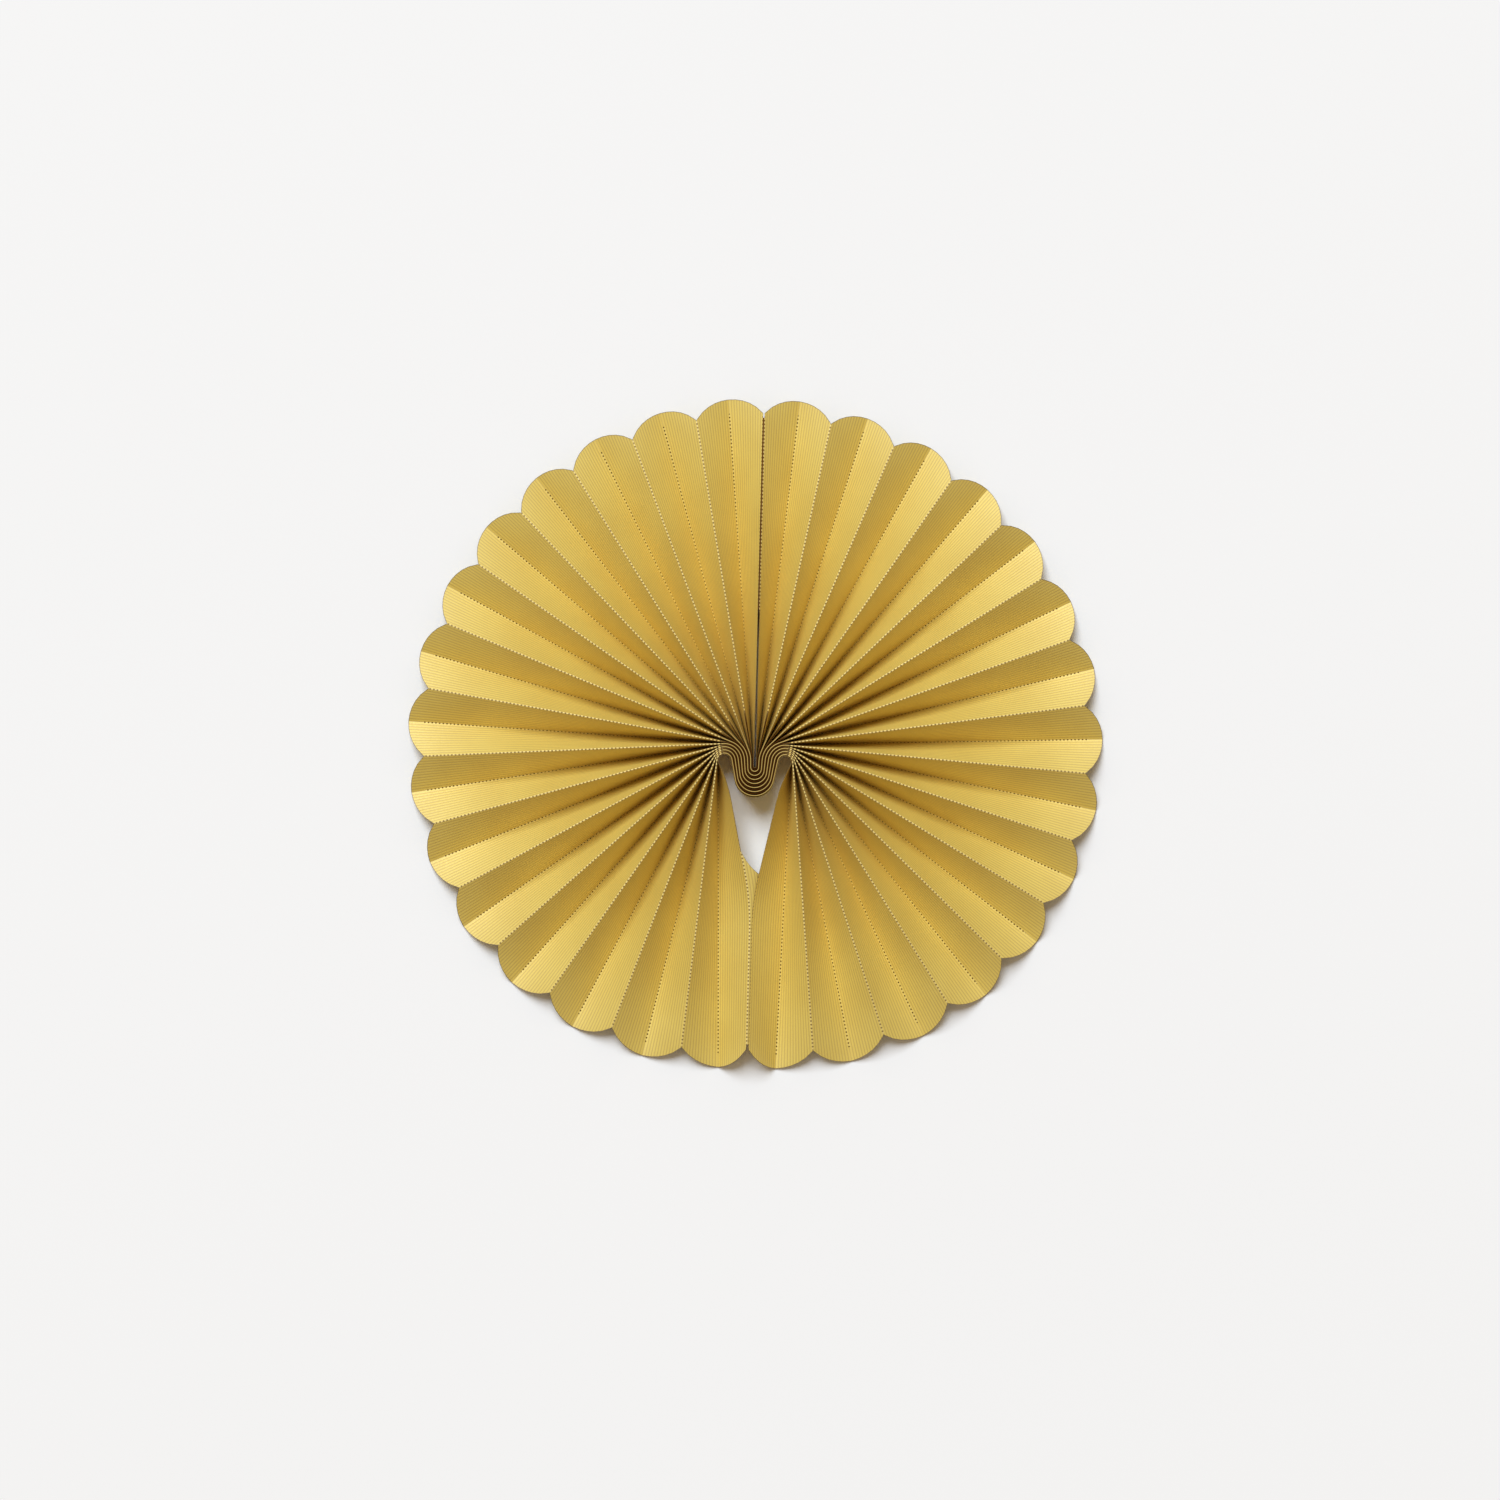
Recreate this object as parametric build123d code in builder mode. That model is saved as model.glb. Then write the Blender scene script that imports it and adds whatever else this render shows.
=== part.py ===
from build123d import *

import os
from math import atan2, cos, radians, sin, sqrt, tan

# A pleated paper flower, lying flat: one die-cut sheet of ribbed paper, folded like an
# accordion, bent into a U at its middle, and fanned out until its two ends meet.
# The origin is under the middle of its outline, on the surface that it lies on.
# The seam of the innermost panels points along +Y. Sizes are in millimetres.

# The flat sheet
PANELS = 30  # strips between neighbouring folds, an even number
PANEL_WIDTH = 17.5  # from one fold to the next
PAPER = 0.22  # thickness
CREASE = 0.26  # flat strip that pressing leaves along each fold
INNER_REACH = 153.8  # from the sheet's middle to a notch of the rim, at the innermost fold
OUTER_REACH = 155.8  # the same at the outermost fold, where the sheet is a little taller
SCALLOP_DEPTH = 7.9  # how far a scallop stands out past its notches

# The glue tabs, one past each end of the sheet
TAB_WIDTH = 14.0  # from the last fold to the tab's free edge
TAB_LENGTH = 86.3  # from the root of the tab's inner end to the notch of the rim
TAB_SLOPE = 14.5  # how far the tab's inner end slopes back
TAB_HOLLOW = 19.5  # radius of the inner end, which is hollow
TAB_SETBACK = 2.0  # from the tab's outer end to the notch

# The stack of folds at the middle
HAIRPIN = 0.45  # radius of the innermost fold where it turns back
STACK_PITCH = 0.335  # from fold to fold, at the shoulders
INNER_DROP = 2.6  # depth of the bend at the innermost fold
OUTER_DROP = 15.7  # depth of the bend at the outermost fold
SIDE_LEAN = 12.0  # lean of the stack's outer sides, which stand wider at the shoulders
SHOULDER_RADIUS = 2.6  # of the outermost fold where it leaves the stack
HUB_Y = -11.8  # line through the two shoulders

# The fan
FAN_ANGLE = 188.7  # between the innermost and the outermost fold of one half, in degrees
FAN_GAIN = 27.2  # part of that angle that comes from folds opening wider further out
RIM_LIFT = 0.3  # how much higher the rim's valleys are than the middle's

# The outermost folds part around a gap before they meet at their seam
GAP_TURN = 208.0  # turn of the outermost fold at its shoulder, in degrees
GAP_LEAN = 12.0  # lean of the gap's edges, in degrees
GAP_BOW = 60.0  # radius of the gap's edges beside the shoulder
SEAM_BOW = 120.0  # radius of the gap's edges where they come together
SEAM_HALF = 0.35  # half the slit between the two edges of the seam

# Fits and overruns
NEST = 0.03  # how much thinner a tab is on each side, to lie inside the sheet at its fold
GLUE_PRESS = 0.08  # how far a tab is pushed at the panel that it is glued to, NEST included
TAB_ROOT = 0.5  # how far a tab reaches back into its own panel
OVERRUN = 1.5  # how far the uncut sheet and the cutter reach past the rim

# Stations along the folds: closest at the bend, and closer again towards the rim
HUB_LENGTH = 38.0  # curved faces up to here, flat facets further out
HUB_STATIONS = 32
HUB_GROWTH = 1.25
FAN_STATIONS = 12
FAN_GROWTH = 1.4
TAB_STATIONS = 8

SHOULDER_X = HAIRPIN + PANELS * STACK_PITCH + SHOULDER_RADIUS
STACK_HEIGHT = PANEL_WIDTH - CREASE
SHEET_REACH = OUTER_REACH + SCALLOP_DEPTH + OVERRUN


def notch_reach(fold):
    """Flat length from the sheet's middle to the rim's notches, at a fold."""
    return INNER_REACH + (OUTER_REACH - INNER_REACH) * fold / PANELS


def shoulder_turn(fold):
    """Turn of a fold from the middle line to its spoke, in degrees."""
    share = fold / PANELS
    return (FAN_ANGLE - FAN_GAIN) * share + FAN_GAIN * share**2


def fold_plan(fold):
    """Plan of a fold's left half: round the bend, over the shoulder, and out."""
    share = fold / PANELS
    lean = SIDE_LEAN * share
    drop = INNER_DROP + (OUTER_DROP - INNER_DROP) * share
    shoulder = SHOULDER_X - HAIRPIN - fold * STACK_PITCH
    sine = sin(radians(lean))
    cosine = cos(radians(lean))
    bend = (SHOULDER_X * cosine - shoulder - drop * sine) / (1 - sine)
    with BuildLine() as plan:
        last = CenterArc((0, HUB_Y - drop + bend), bend, 270, lean - 90)
        last = Line(last @ 1, (shoulder * cosine - SHOULDER_X, HUB_Y + shoulder * sine))
        if fold == PANELS:
            last = JernArc(last @ 1, last % 1, shoulder, GAP_TURN - lean)
            last = JernArc(last @ 1, last % 1, GAP_BOW, 180 + GAP_LEAN - GAP_TURN)
            closing = SEAM_BOW * (1 - cos(radians(GAP_LEAN)))
            run = (-SEAM_HALF - closing - (last @ 1).X) / sin(radians(GAP_LEAN))
            last = Line(last @ 1, last @ 1 + (last % 1) * run)
            last = JernArc(last @ 1, last % 1, SEAM_BOW, -GAP_LEAN)
        elif fold > 0:
            last = JernArc(last @ 1, last % 1, shoulder, shoulder_turn(fold) - lean)
        spent = sum(edge.length for edge in plan.edges())
        Line(last @ 1, last @ 1 + (last % 1) * (SHEET_REACH - spent))
    return plan.wires()[0]


class Station:
    """All folds of the left half at one flat distance from the sheet's middle.

    The odd folds are valleys, close to the surface below, and the even ones are ridges.
    """

    def __init__(self, plans, reach):
        where = PositionMode.LENGTH
        self.reach = reach
        self.place = [plan.position_at(reach, where) for plan in plans]
        self.ahead = [plan.tangent_at(reach, where) for plan in plans]
        self.across = [Vector(-ahead.Y, ahead.X, 0) for ahead in self.ahead]
        gaps = [(b - a).length for a, b in zip(self.place, self.place[1:])]
        rise = [sqrt(STACK_HEIGHT**2 - (gap - CREASE) ** 2) for gap in gaps]
        self.slope = [atan2(r, gap - CREASE) for r, gap in zip(rise, gaps)]
        crest = [rise[0], *[(a + b) / 2 for a, b in zip(rise, rise[1:])], rise[-1]]
        valley = PAPER / 2 + RIM_LIFT * (reach / OUTER_REACH) ** 2
        self.height = [valley + h * (1 - fold % 2) for fold, h in enumerate(crest)]

    def fold(self, fold, shift=0.0):
        """A point of a fold's flat crease, on the sheet's mid-surface."""
        flat = self.place[fold] + self.across[fold] * shift
        return Vector(flat.X, flat.Y, self.height[fold])

    def corner(self, fold, side, offset):
        """Where crease and panel meet, on side -1 or 1 of a fold, off the mid-surface."""
        panel = max(0, min(fold if side > 0 else fold - 1, PANELS - 1))
        miter = (-1) ** fold * offset * tan(self.slope[panel] / 2)
        return self.fold(fold, side * (CREASE / 2 + miter)) + Vector(0, 0, offset)

    def sheet_row(self, offset):
        """The corners of one side of the sheet, from the innermost fold outwards."""
        row = [self.corner(0, 1, offset)]
        for fold in range(1, PANELS):
            row.append(self.corner(fold, -1, offset))
            row.append(self.corner(fold, 1, offset))
        row.append(self.corner(PANELS, -1, offset))
        return row

    def neighbour(self, fold, out):
        """Edge and foot of the panel that meets this half's first or last one."""
        edge = mirrored(self.fold(fold, -out * CREASE / 2))
        return edge, mirrored(self.fold(fold - out, out * CREASE / 2))

    def tab_row(self, fold, out, offset):
        """The corners of one side of a tab: own panel, crease, and the neighbour's back."""
        edge, foot = self.neighbour(fold, out)
        square = (foot - edge).cross(mirrored(self.ahead[fold])).normalized() * -out
        seat = square * (offset + GLUE_PRESS - PAPER)
        return [
            self.corner(fold - out, out, offset),
            self.corner(fold, -out, offset),
            self.corner(fold, out, offset),
            edge + seat,
            foot + seat,
        ]

    def tab_root(self, fold, out):
        """Where a tab begins, inside its own panel, in plan."""
        root = self.fold(fold, -out * (CREASE / 2 + TAB_ROOT))
        return root.X, root.Y

    def tab_free(self, fold, out):
        """Where a tab's free edge lies, behind its neighbour, in plan."""
        edge, foot = self.neighbour(fold, out)
        crossing = (edge - self.fold(fold, out * CREASE / 2)).length
        free = edge + (foot - edge).normalized() * (TAB_WIDTH - crossing)
        return free.X, free.Y


def mirrored(point):
    """The same point on the other half."""
    return Vector(-point.X, point.Y, point.Z)


def curved(upper, lower, knots):
    """Faces of the bend, through the corners at its stations and their mirror images."""
    faces = []
    sides = []
    for rows in (upper, lower):
        lines = []
        for left in zip(*rows):
            right = [mirrored(point) for point in left[1:]]
            lines.append(Edge.make_spline([*left[::-1], *right], parameters=knots))
        faces += [Face.make_surface_from_curves(a, b) for a, b in zip(lines, lines[1:])]
        sides.append(lines)
    for rank in (0, -1):
        faces.append(Face.make_surface_from_curves(sides[0][rank], sides[1][rank]))
    return faces


def facets(rows, flat=()):
    """Flat faces through a grid of corners: two a cell, or one in the columns that are flat."""
    faces = []
    for near, far in zip(rows, rows[1:]):
        for rank in range(len(near) - 1):
            a, b, c, d = near[rank], near[rank + 1], far[rank + 1], far[rank]
            if rank in flat:
                loops = [(a, b, c, d)]
            elif a.Z > b.Z:
                loops = [(a, b, c), (a, c, d)]
            else:
                loops = [(b, a, d), (b, d, c)]
            faces += [Face(Wire.make_polygon(loop)) for loop in loops]
    return faces


def folded(upper, lower, flat=()):
    """Faces around a folded strip, open at its first station."""
    faces = facets(upper, flat) + facets(lower, flat)
    for rank in (0, -1):
        faces += facets([(above[rank], below[rank]) for above, below in zip(upper, lower)])
    return faces + facets([upper[-1], lower[-1]])


def spread(first, last, count):
    """Evenly spaced values, both ends included."""
    return [first + (last - first) * k / count for k in range(count + 1)]


def glue_tab(fan, fold, out):
    """Tab of the left half, past its first or last fold, which is on side -1 or 1."""
    thin = PAPER / 2 - NEST
    upper = [station.tab_row(fold, out, thin) for station in fan]
    lower = [station.tab_row(fold, out, -thin) for station in fan]
    start = notch_reach(fold) - TAB_LENGTH
    stop = notch_reach(fold) - TAB_SETBACK
    along = [Station(plans, step) for step in spread(start, stop, TAB_STATIONS)]
    behind = [Station(plans, step) for step in spread(start + TAB_SLOPE, stop, TAB_STATIONS)]
    with BuildPart() as tab:
        add(Solid(Shell(folded(upper, lower) + facets([upper[0], lower[0]]))))
        with BuildSketch():
            with BuildLine():
                root = Spline(*[station.tab_root(fold, out) for station in along])
                free = Spline(*[station.tab_free(fold, out) for station in behind])
                RadiusArc(root @ 0, free @ 0, -out * TAB_HOLLOW)
                Line(root @ 1, free @ 1)
            make_face()
        extrude(amount=2 * STACK_HEIGHT, both=True, mode=Mode.INTERSECT)
    return tab.part


plans = [fold_plan(fold) for fold in range(PANELS + 1)]
hub_steps = [HUB_LENGTH * share**HUB_GROWTH for share in spread(0, 1, HUB_STATIONS)]
hub_knots = [-step for step in hub_steps[::-1]] + hub_steps[1:]
fan_shares = [1 - (1 - share) ** FAN_GROWTH for share in spread(0, 1, FAN_STATIONS)]
fan_steps = [HUB_LENGTH + (SHEET_REACH - HUB_LENGTH) * share for share in fan_shares]
hub = [Station(plans, step) for step in hub_steps]
fan = [Station(plans, step) for step in fan_steps]

# The sheet, still with its straight outer edge
faces = (PAPER / 2, -PAPER / 2)
creases = range(1, 2 * PANELS - 1, 2)
bend = [[station.sheet_row(face) for station in hub] for face in faces]
left = [[station.sheet_row(face) for station in fan] for face in faces]
right = [[[mirrored(point) for point in row] for row in rows] for rows in left]
sheet = Shell(curved(*bend, hub_knots) + folded(*left, creases) + folded(*right, creases))

# The rim's notches and tips
notches = []
tips = []
for fold, plan in enumerate(plans):
    reach = notch_reach(fold) + SCALLOP_DEPTH * (fold % 2)
    (tips if fold % 2 else notches).append(plan.position_at(reach, PositionMode.LENGTH))
notches[0] = Vector(0, notches[0].Y)
notches[-1] = Vector(0, notches[-1].Y)

# One tab is on the left half's last fold, the other on the right half's first
last_tab = glue_tab(fan, PANELS, 1)
first_tab = mirror(glue_tab(fan, 0, -1), about=Plane.YZ)

with BuildPart() as flower:
    add(Solid(sheet))
    with BuildSketch(Plane.XY.offset(-OVERRUN)):
        with BuildLine():
            for start, tip, end in zip(notches, tips, notches[1:]):
                ThreePointArc(start, tip, end)
            mirror(about=Plane.YZ)
        make_face()
    extrude(amount=STACK_HEIGHT + PAPER + 2 * OVERRUN, mode=Mode.INTERSECT)
    add(last_tab)
    add(first_tab)

flower.part.label = "pleated_flower"
os.makedirs("parts", exist_ok=True)
export_step(flower.part, "parts/pleated_flower.step")
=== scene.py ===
from math import cos, pi, radians, sin, sqrt

import bmesh
import bpy
from bpy.props import FloatProperty, FloatVectorProperty, IntProperty, PointerProperty
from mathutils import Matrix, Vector


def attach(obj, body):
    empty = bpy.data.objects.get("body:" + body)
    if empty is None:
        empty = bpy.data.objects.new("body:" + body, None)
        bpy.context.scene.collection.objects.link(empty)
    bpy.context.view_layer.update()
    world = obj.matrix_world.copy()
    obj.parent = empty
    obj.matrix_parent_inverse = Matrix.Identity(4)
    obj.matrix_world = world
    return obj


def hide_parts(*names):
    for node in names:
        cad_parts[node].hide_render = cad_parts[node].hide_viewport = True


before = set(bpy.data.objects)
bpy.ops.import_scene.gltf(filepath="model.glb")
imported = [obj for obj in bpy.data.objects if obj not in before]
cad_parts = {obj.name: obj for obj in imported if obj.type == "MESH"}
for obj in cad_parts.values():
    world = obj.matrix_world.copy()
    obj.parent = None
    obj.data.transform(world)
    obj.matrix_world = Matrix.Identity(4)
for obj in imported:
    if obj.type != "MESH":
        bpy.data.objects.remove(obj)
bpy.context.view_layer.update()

bl_info = {
    "name": "Pleated paper flower",
    "version": (1, 0, 0),
    "blender": (4, 5, 0),
    "location": "View3D > Sidebar > Paper flower",
    "description": "Folds a die-cut sheet of ribbed paper into a flat round flower",
    "category": "Add Mesh",
}

NODE = "pleated_flower"


# Settings


class SheetSettings(bpy.types.PropertyGroup):
    """The flat sheet, its folds and how they fan out."""

    panels: IntProperty(
        name="Panels", description="Strips between neighbouring folds", default=30, min=4
    )
    panel_width: FloatProperty(
        name="Panel width", description="From one fold to the next", default=0.0175, unit="LENGTH"
    )
    thickness: FloatProperty(
        name="Thickness", description="Thickness of the paper", default=0.00022, unit="LENGTH"
    )
    crease: FloatProperty(
        name="Crease", description="Flat strip along each fold", default=0.00026, unit="LENGTH"
    )
    inner_reach: FloatProperty(
        name="Inner reach",
        description="From the sheet's middle to a notch of the rim, at the innermost fold",
        default=0.1538,
        unit="LENGTH",
    )
    outer_reach: FloatProperty(
        name="Outer reach",
        description="From the sheet's middle to a notch of the rim, at the outermost fold",
        default=0.1558,
        unit="LENGTH",
    )
    scallop_depth: FloatProperty(
        name="Scallop depth",
        description="How far a scallop stands out past its notches",
        default=0.0079,
        unit="LENGTH",
    )
    hairpin: FloatProperty(
        name="Hairpin",
        description="Radius of the innermost fold where it turns back",
        default=0.00045,
        unit="LENGTH",
    )
    stack_pitch: FloatProperty(
        name="Stack pitch",
        description="From fold to fold, at the shoulders",
        default=0.000335,
        unit="LENGTH",
    )
    inner_drop: FloatProperty(
        name="Inner drop",
        description="Depth of the bend at the innermost fold",
        default=0.0026,
        unit="LENGTH",
    )
    outer_drop: FloatProperty(
        name="Outer drop",
        description="Depth of the bend at the outermost fold",
        default=0.0157,
        unit="LENGTH",
    )
    side_lean: FloatProperty(
        name="Side lean",
        description="Lean of the stack's outer sides, which stand wider at the shoulders",
        default=radians(12.0),
        subtype="ANGLE",
    )
    shoulder_radius: FloatProperty(
        name="Shoulder radius",
        description="Radius of the outermost fold where it leaves the stack",
        default=0.0026,
        unit="LENGTH",
    )
    hub_y: FloatProperty(
        name="Hub", description="Line through the two shoulders", default=-0.0118, unit="LENGTH"
    )
    fan_angle: FloatProperty(
        name="Fan angle",
        description="Between the innermost and the outermost fold of one half",
        default=radians(188.7),
        subtype="ANGLE",
    )
    fan_gain: FloatProperty(
        name="Fan gain",
        description="Part of the fan's angle that comes from folds opening wider further out",
        default=radians(27.2),
        subtype="ANGLE",
    )
    rim_lift: FloatProperty(
        name="Rim lift",
        description="How much higher the rim's valleys are than the middle's",
        default=0.0003,
        unit="LENGTH",
    )


class SeamSettings(bpy.types.PropertyGroup):
    """The gap, the seams and their glue tabs."""

    gap_turn: FloatProperty(
        name="Gap turn",
        description="Turn of the outermost fold at its shoulder",
        default=radians(208.0),
        subtype="ANGLE",
    )
    gap_lean: FloatProperty(
        name="Gap lean",
        description="Lean of the gap's edges",
        default=radians(12.0),
        subtype="ANGLE",
    )
    gap_bow: FloatProperty(
        name="Gap bow",
        description="Radius of the gap's edges beside the shoulder",
        default=0.060,
        unit="LENGTH",
    )
    seam_bow: FloatProperty(
        name="Seam bow",
        description="Radius of the gap's edges where they come together",
        default=0.120,
        unit="LENGTH",
    )
    seam_half: FloatProperty(
        name="Seam half",
        description="Half the slit between the two edges of the seam",
        default=0.00035,
        unit="LENGTH",
    )
    seam_lean: FloatProperty(
        name="Seam lean",
        description="How far each innermost fold leans over to the other, past the bend",
        default=0.0002,
        unit="LENGTH",
    )
    seam_lean_start: FloatProperty(
        name="Seam lean start",
        description="From the sheet's middle to where that lean begins; it is full at twice that",
        default=0.004,
        unit="LENGTH",
    )
    tab_width: FloatProperty(
        name="Tab width",
        description="From the last fold to the tab's free edge",
        default=0.014,
        unit="LENGTH",
    )
    tab_length: FloatProperty(
        name="Tab length",
        description="From the root of the tab's inner end to the notch of the rim",
        default=0.0863,
        unit="LENGTH",
    )
    tab_slope: FloatProperty(
        name="Tab slope",
        description="How far the tab's inner end slopes back",
        default=0.0145,
        unit="LENGTH",
    )
    tab_hollow: FloatProperty(
        name="Tab hollow",
        description="Radius of the tab's hollow inner end",
        default=0.0195,
        unit="LENGTH",
    )
    tab_setback: FloatProperty(
        name="Tab setback",
        description="From the tab's outer end to the notch",
        default=0.002,
        unit="LENGTH",
    )
    glue: FloatProperty(
        name="Glue", description="Film of glue under a tab", default=0.00002, unit="LENGTH"
    )


class PaperSettings(bpy.types.PropertyGroup):
    """Colours, ribs and perforations of the paper, and the shade and highlights painted on it."""

    gold: FloatVectorProperty(
        name="Gold",
        description="Colour of the paper",
        default=(0.81, 0.615, 0.10),
        subtype="COLOR",
        size=3,
    )
    deep_gold: FloatVectorProperty(
        name="Deep gold",
        description="Colour of the paper's cloudy patches and fibres",
        default=(0.69, 0.485, 0.055),
        subtype="COLOR",
        size=3,
    )
    # The holes take this colour as painted shade
    edge_brown: FloatVectorProperty(
        name="Edge brown",
        description="Colour of the cut edges, and of the shade painted in the holes",
        default=(0.13, 0.065, 0.015),
        subtype="COLOR",
        size=3,
    )
    ribs: IntProperty(
        name="Ribs", description="Embossed ribs on each panel", default=13, min=1
    )
    hole_pitch: FloatProperty(
        name="Hole pitch",
        description="Between the perforations along a fold",
        default=0.00162,
        unit="LENGTH",
    )
    hole_radius: FloatProperty(
        name="Hole radius", description="Of a perforation", default=0.00038, unit="LENGTH"
    )
    hole_start: FloatProperty(
        name="Hole start",
        description="Flat distance from the sheet's middle to the first perforation",
        default=0.0255,
        unit="LENGTH",
    )
    browning: FloatProperty(
        name="Browning",
        description="Width of the dark line along a cut edge",
        default=0.00028,
        unit="LENGTH",
    )
    # Colour of the shade painted in the ribs' grooves and over the stack, and of the scorched
    # paper around the holes
    shade_and_scorch_brown: FloatVectorProperty(
        name="Shade and scorch brown",
        description="Colour of the shade painted in the ribs' grooves and over the stack, and of the scorched paper around the holes",
        default=(0.30, 0.135, 0.025),
        subtype="COLOR",
        size=3,
    )
    # Strength of the shade painted in the ribs' grooves
    rib_groove_shade: FloatProperty(
        name="Rib groove shade", description="How dark the shade painted in the ribs' grooves is", default=0.42, min=0, max=1
    )
    roughness: FloatProperty(
        name="Roughness", description="Of the paper's pearly face", default=0.58, min=0, max=1
    )
    metal: FloatProperty(
        name="Metal", description="Share of metallic pigment", default=0.2, min=0, max=1
    )
    gloss: FloatProperty(
        name="Gloss", description="Specular level of the face", default=1.0, min=0, max=1
    )
    ior: FloatProperty(name="IOR", description="Of the pearly face", default=1.8, min=1)
    # Colour of the highlight painted on the beads between the perforations
    bead_highlight: FloatVectorProperty(
        name="Bead highlight colour",
        description="Colour of the highlight painted on the bridges between the perforations",
        default=(0.97, 0.76, 0.24),
        subtype="COLOR",
        size=3,
    )
    # Colour of the shade painted between the folds of the stack and on the seam's tab
    painted_shade_brown: FloatVectorProperty(
        name="Painted shade brown",
        description="Colour of the shade painted between the folds of the stack and in the upper seam",
        default=(0.16, 0.055, 0.008),
        subtype="COLOR",
        size=3,
    )
    # Strength of the shade painted between the folds of the stack
    stack_shade: FloatProperty(
        name="Stack shade",
        description="How strong the shade painted between the folds of the stack is",
        default=1.0,
        min=0,
        max=1,
    )


class StudioSettings(bpy.types.PropertyGroup):
    """The floor, the lights and the camera."""

    camera_height: FloatProperty(
        name="Camera height", description="Above the floor", default=1.4, unit="LENGTH"
    )
    view_width: FloatProperty(
        name="View width",
        description="Width of the picture at the flower's height",
        default=0.6555,
        unit="LENGTH",
    )
    roll: FloatProperty(
        name="Roll",
        description="Turn of the camera about its line of sight",
        default=radians(1.5),
        subtype="ANGLE",
    )
    aim: FloatVectorProperty(
        name="Aim",
        description="Point under the middle of the picture, in the camera's own directions",
        default=(-0.0024, -0.0069),
        size=2,
        unit="LENGTH",
    )
    key_power: FloatProperty(
        name="Key power", description="Of the large soft light", default=8700.0, unit="POWER"
    )
    key_size: FloatProperty(
        name="Key size", description="Side of the large soft light", default=17.0, unit="LENGTH"
    )
    key_distance: FloatProperty(
        name="Key distance", description="From the flower", default=30.0, unit="LENGTH"
    )
    key_height: FloatProperty(
        name="Key height",
        description="Angle of the light above the floor",
        default=radians(52.0),
        subtype="ANGLE",
    )
    key_side: FloatProperty(
        name="Key side",
        description="Angle of the light from +Y towards -X",
        default=radians(20.0),
        subtype="ANGLE",
    )
    key_colour: FloatVectorProperty(
        name="Key colour",
        description="Colour of the large soft light",
        default=(0.91, 1.0, 1.11),
        subtype="COLOR",
        size=3,
    )
    sky_colour: FloatVectorProperty(
        name="Sky colour",
        description="Colour of the even light, as warm as the paper's own glow would make it",
        default=(1.0, 0.80, 0.56),
        subtype="COLOR",
        size=3,
    )
    sky: FloatProperty(name="Sky", description="Strength of the even light", default=0.35)
    floor_size: FloatProperty(
        name="Floor size", description="Side of the floor", default=6.0, unit="LENGTH"
    )
    floor_colour: FloatVectorProperty(
        name="Floor colour",
        description="Colour of the floor",
        default=(0.93, 0.93, 0.93),
        subtype="COLOR",
        size=3,
    )


# Folding

TINY = 1e-6  # takes up rounding, in panels
MERGED = 1e-6  # points as close as this become one
DIGITS = 7  # of a distance in metres, which makes whole tenths of a micron


class Fold:
    """Plan of a fold's left half, as arcs and straight runs from the sheet's middle."""

    def __init__(self, sheet, seam, rank):
        share = rank / sheet.panels
        lean = sheet.side_lean * share
        drop = sheet.inner_drop + (sheet.outer_drop - sheet.inner_drop) * share
        shoulder = sheet.shoulder_radius + (sheet.panels - rank) * sheet.stack_pitch
        middle = sheet.hairpin + sheet.panels * sheet.stack_pitch + sheet.shoulder_radius
        bend = (middle * cos(lean) - shoulder - drop * sin(lean)) / (1 - sin(lean))
        self.start = Vector((0, sheet.hub_y - drop))
        foot = Vector((-bend * cos(lean), sheet.hub_y - drop + bend * (1 - sin(lean))))
        crest = Vector((shoulder * cos(lean) - middle, sheet.hub_y + shoulder * sin(lean)))
        self.runs = [(bend * (pi / 2 - lean), lean - pi / 2), ((crest - foot).length, 0)]
        if rank < sheet.panels:
            turn = (sheet.fan_angle - sheet.fan_gain) * share + sheet.fan_gain * share**2 - lean
            self.runs.append((shoulder * turn, turn))
        else:
            bow = seam.gap_turn - pi - seam.gap_lean
            turn = seam.gap_turn - lean
            self.runs.append((shoulder * turn, turn))
            self.runs.append((seam.gap_bow * bow, -bow))
            place = self.at(sum(length for length, turn in self.runs))[0]
            closing = seam.seam_bow * (1 - cos(seam.gap_lean))
            self.runs.append((-(seam.seam_half + closing + place.x) / sin(seam.gap_lean), 0))
            self.runs.append((seam.seam_bow * seam.gap_lean, -seam.gap_lean))

    def at(self, reach):
        """Place and heading at a flat distance from the sheet's middle."""
        place, heading = self.start.copy(), pi
        for length, turn in self.runs:
            run = min(reach, length)
            if turn and run:
                radius, after = length / turn, heading + turn * run / length
                place.x += radius * (sin(after) - sin(heading))
                place.y -= radius * (cos(after) - cos(heading))
                heading = after
            else:
                place += Vector((cos(heading), sin(heading))) * run
            reach -= run
        return place + Vector((cos(heading), sin(heading))) * reach, heading


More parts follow.
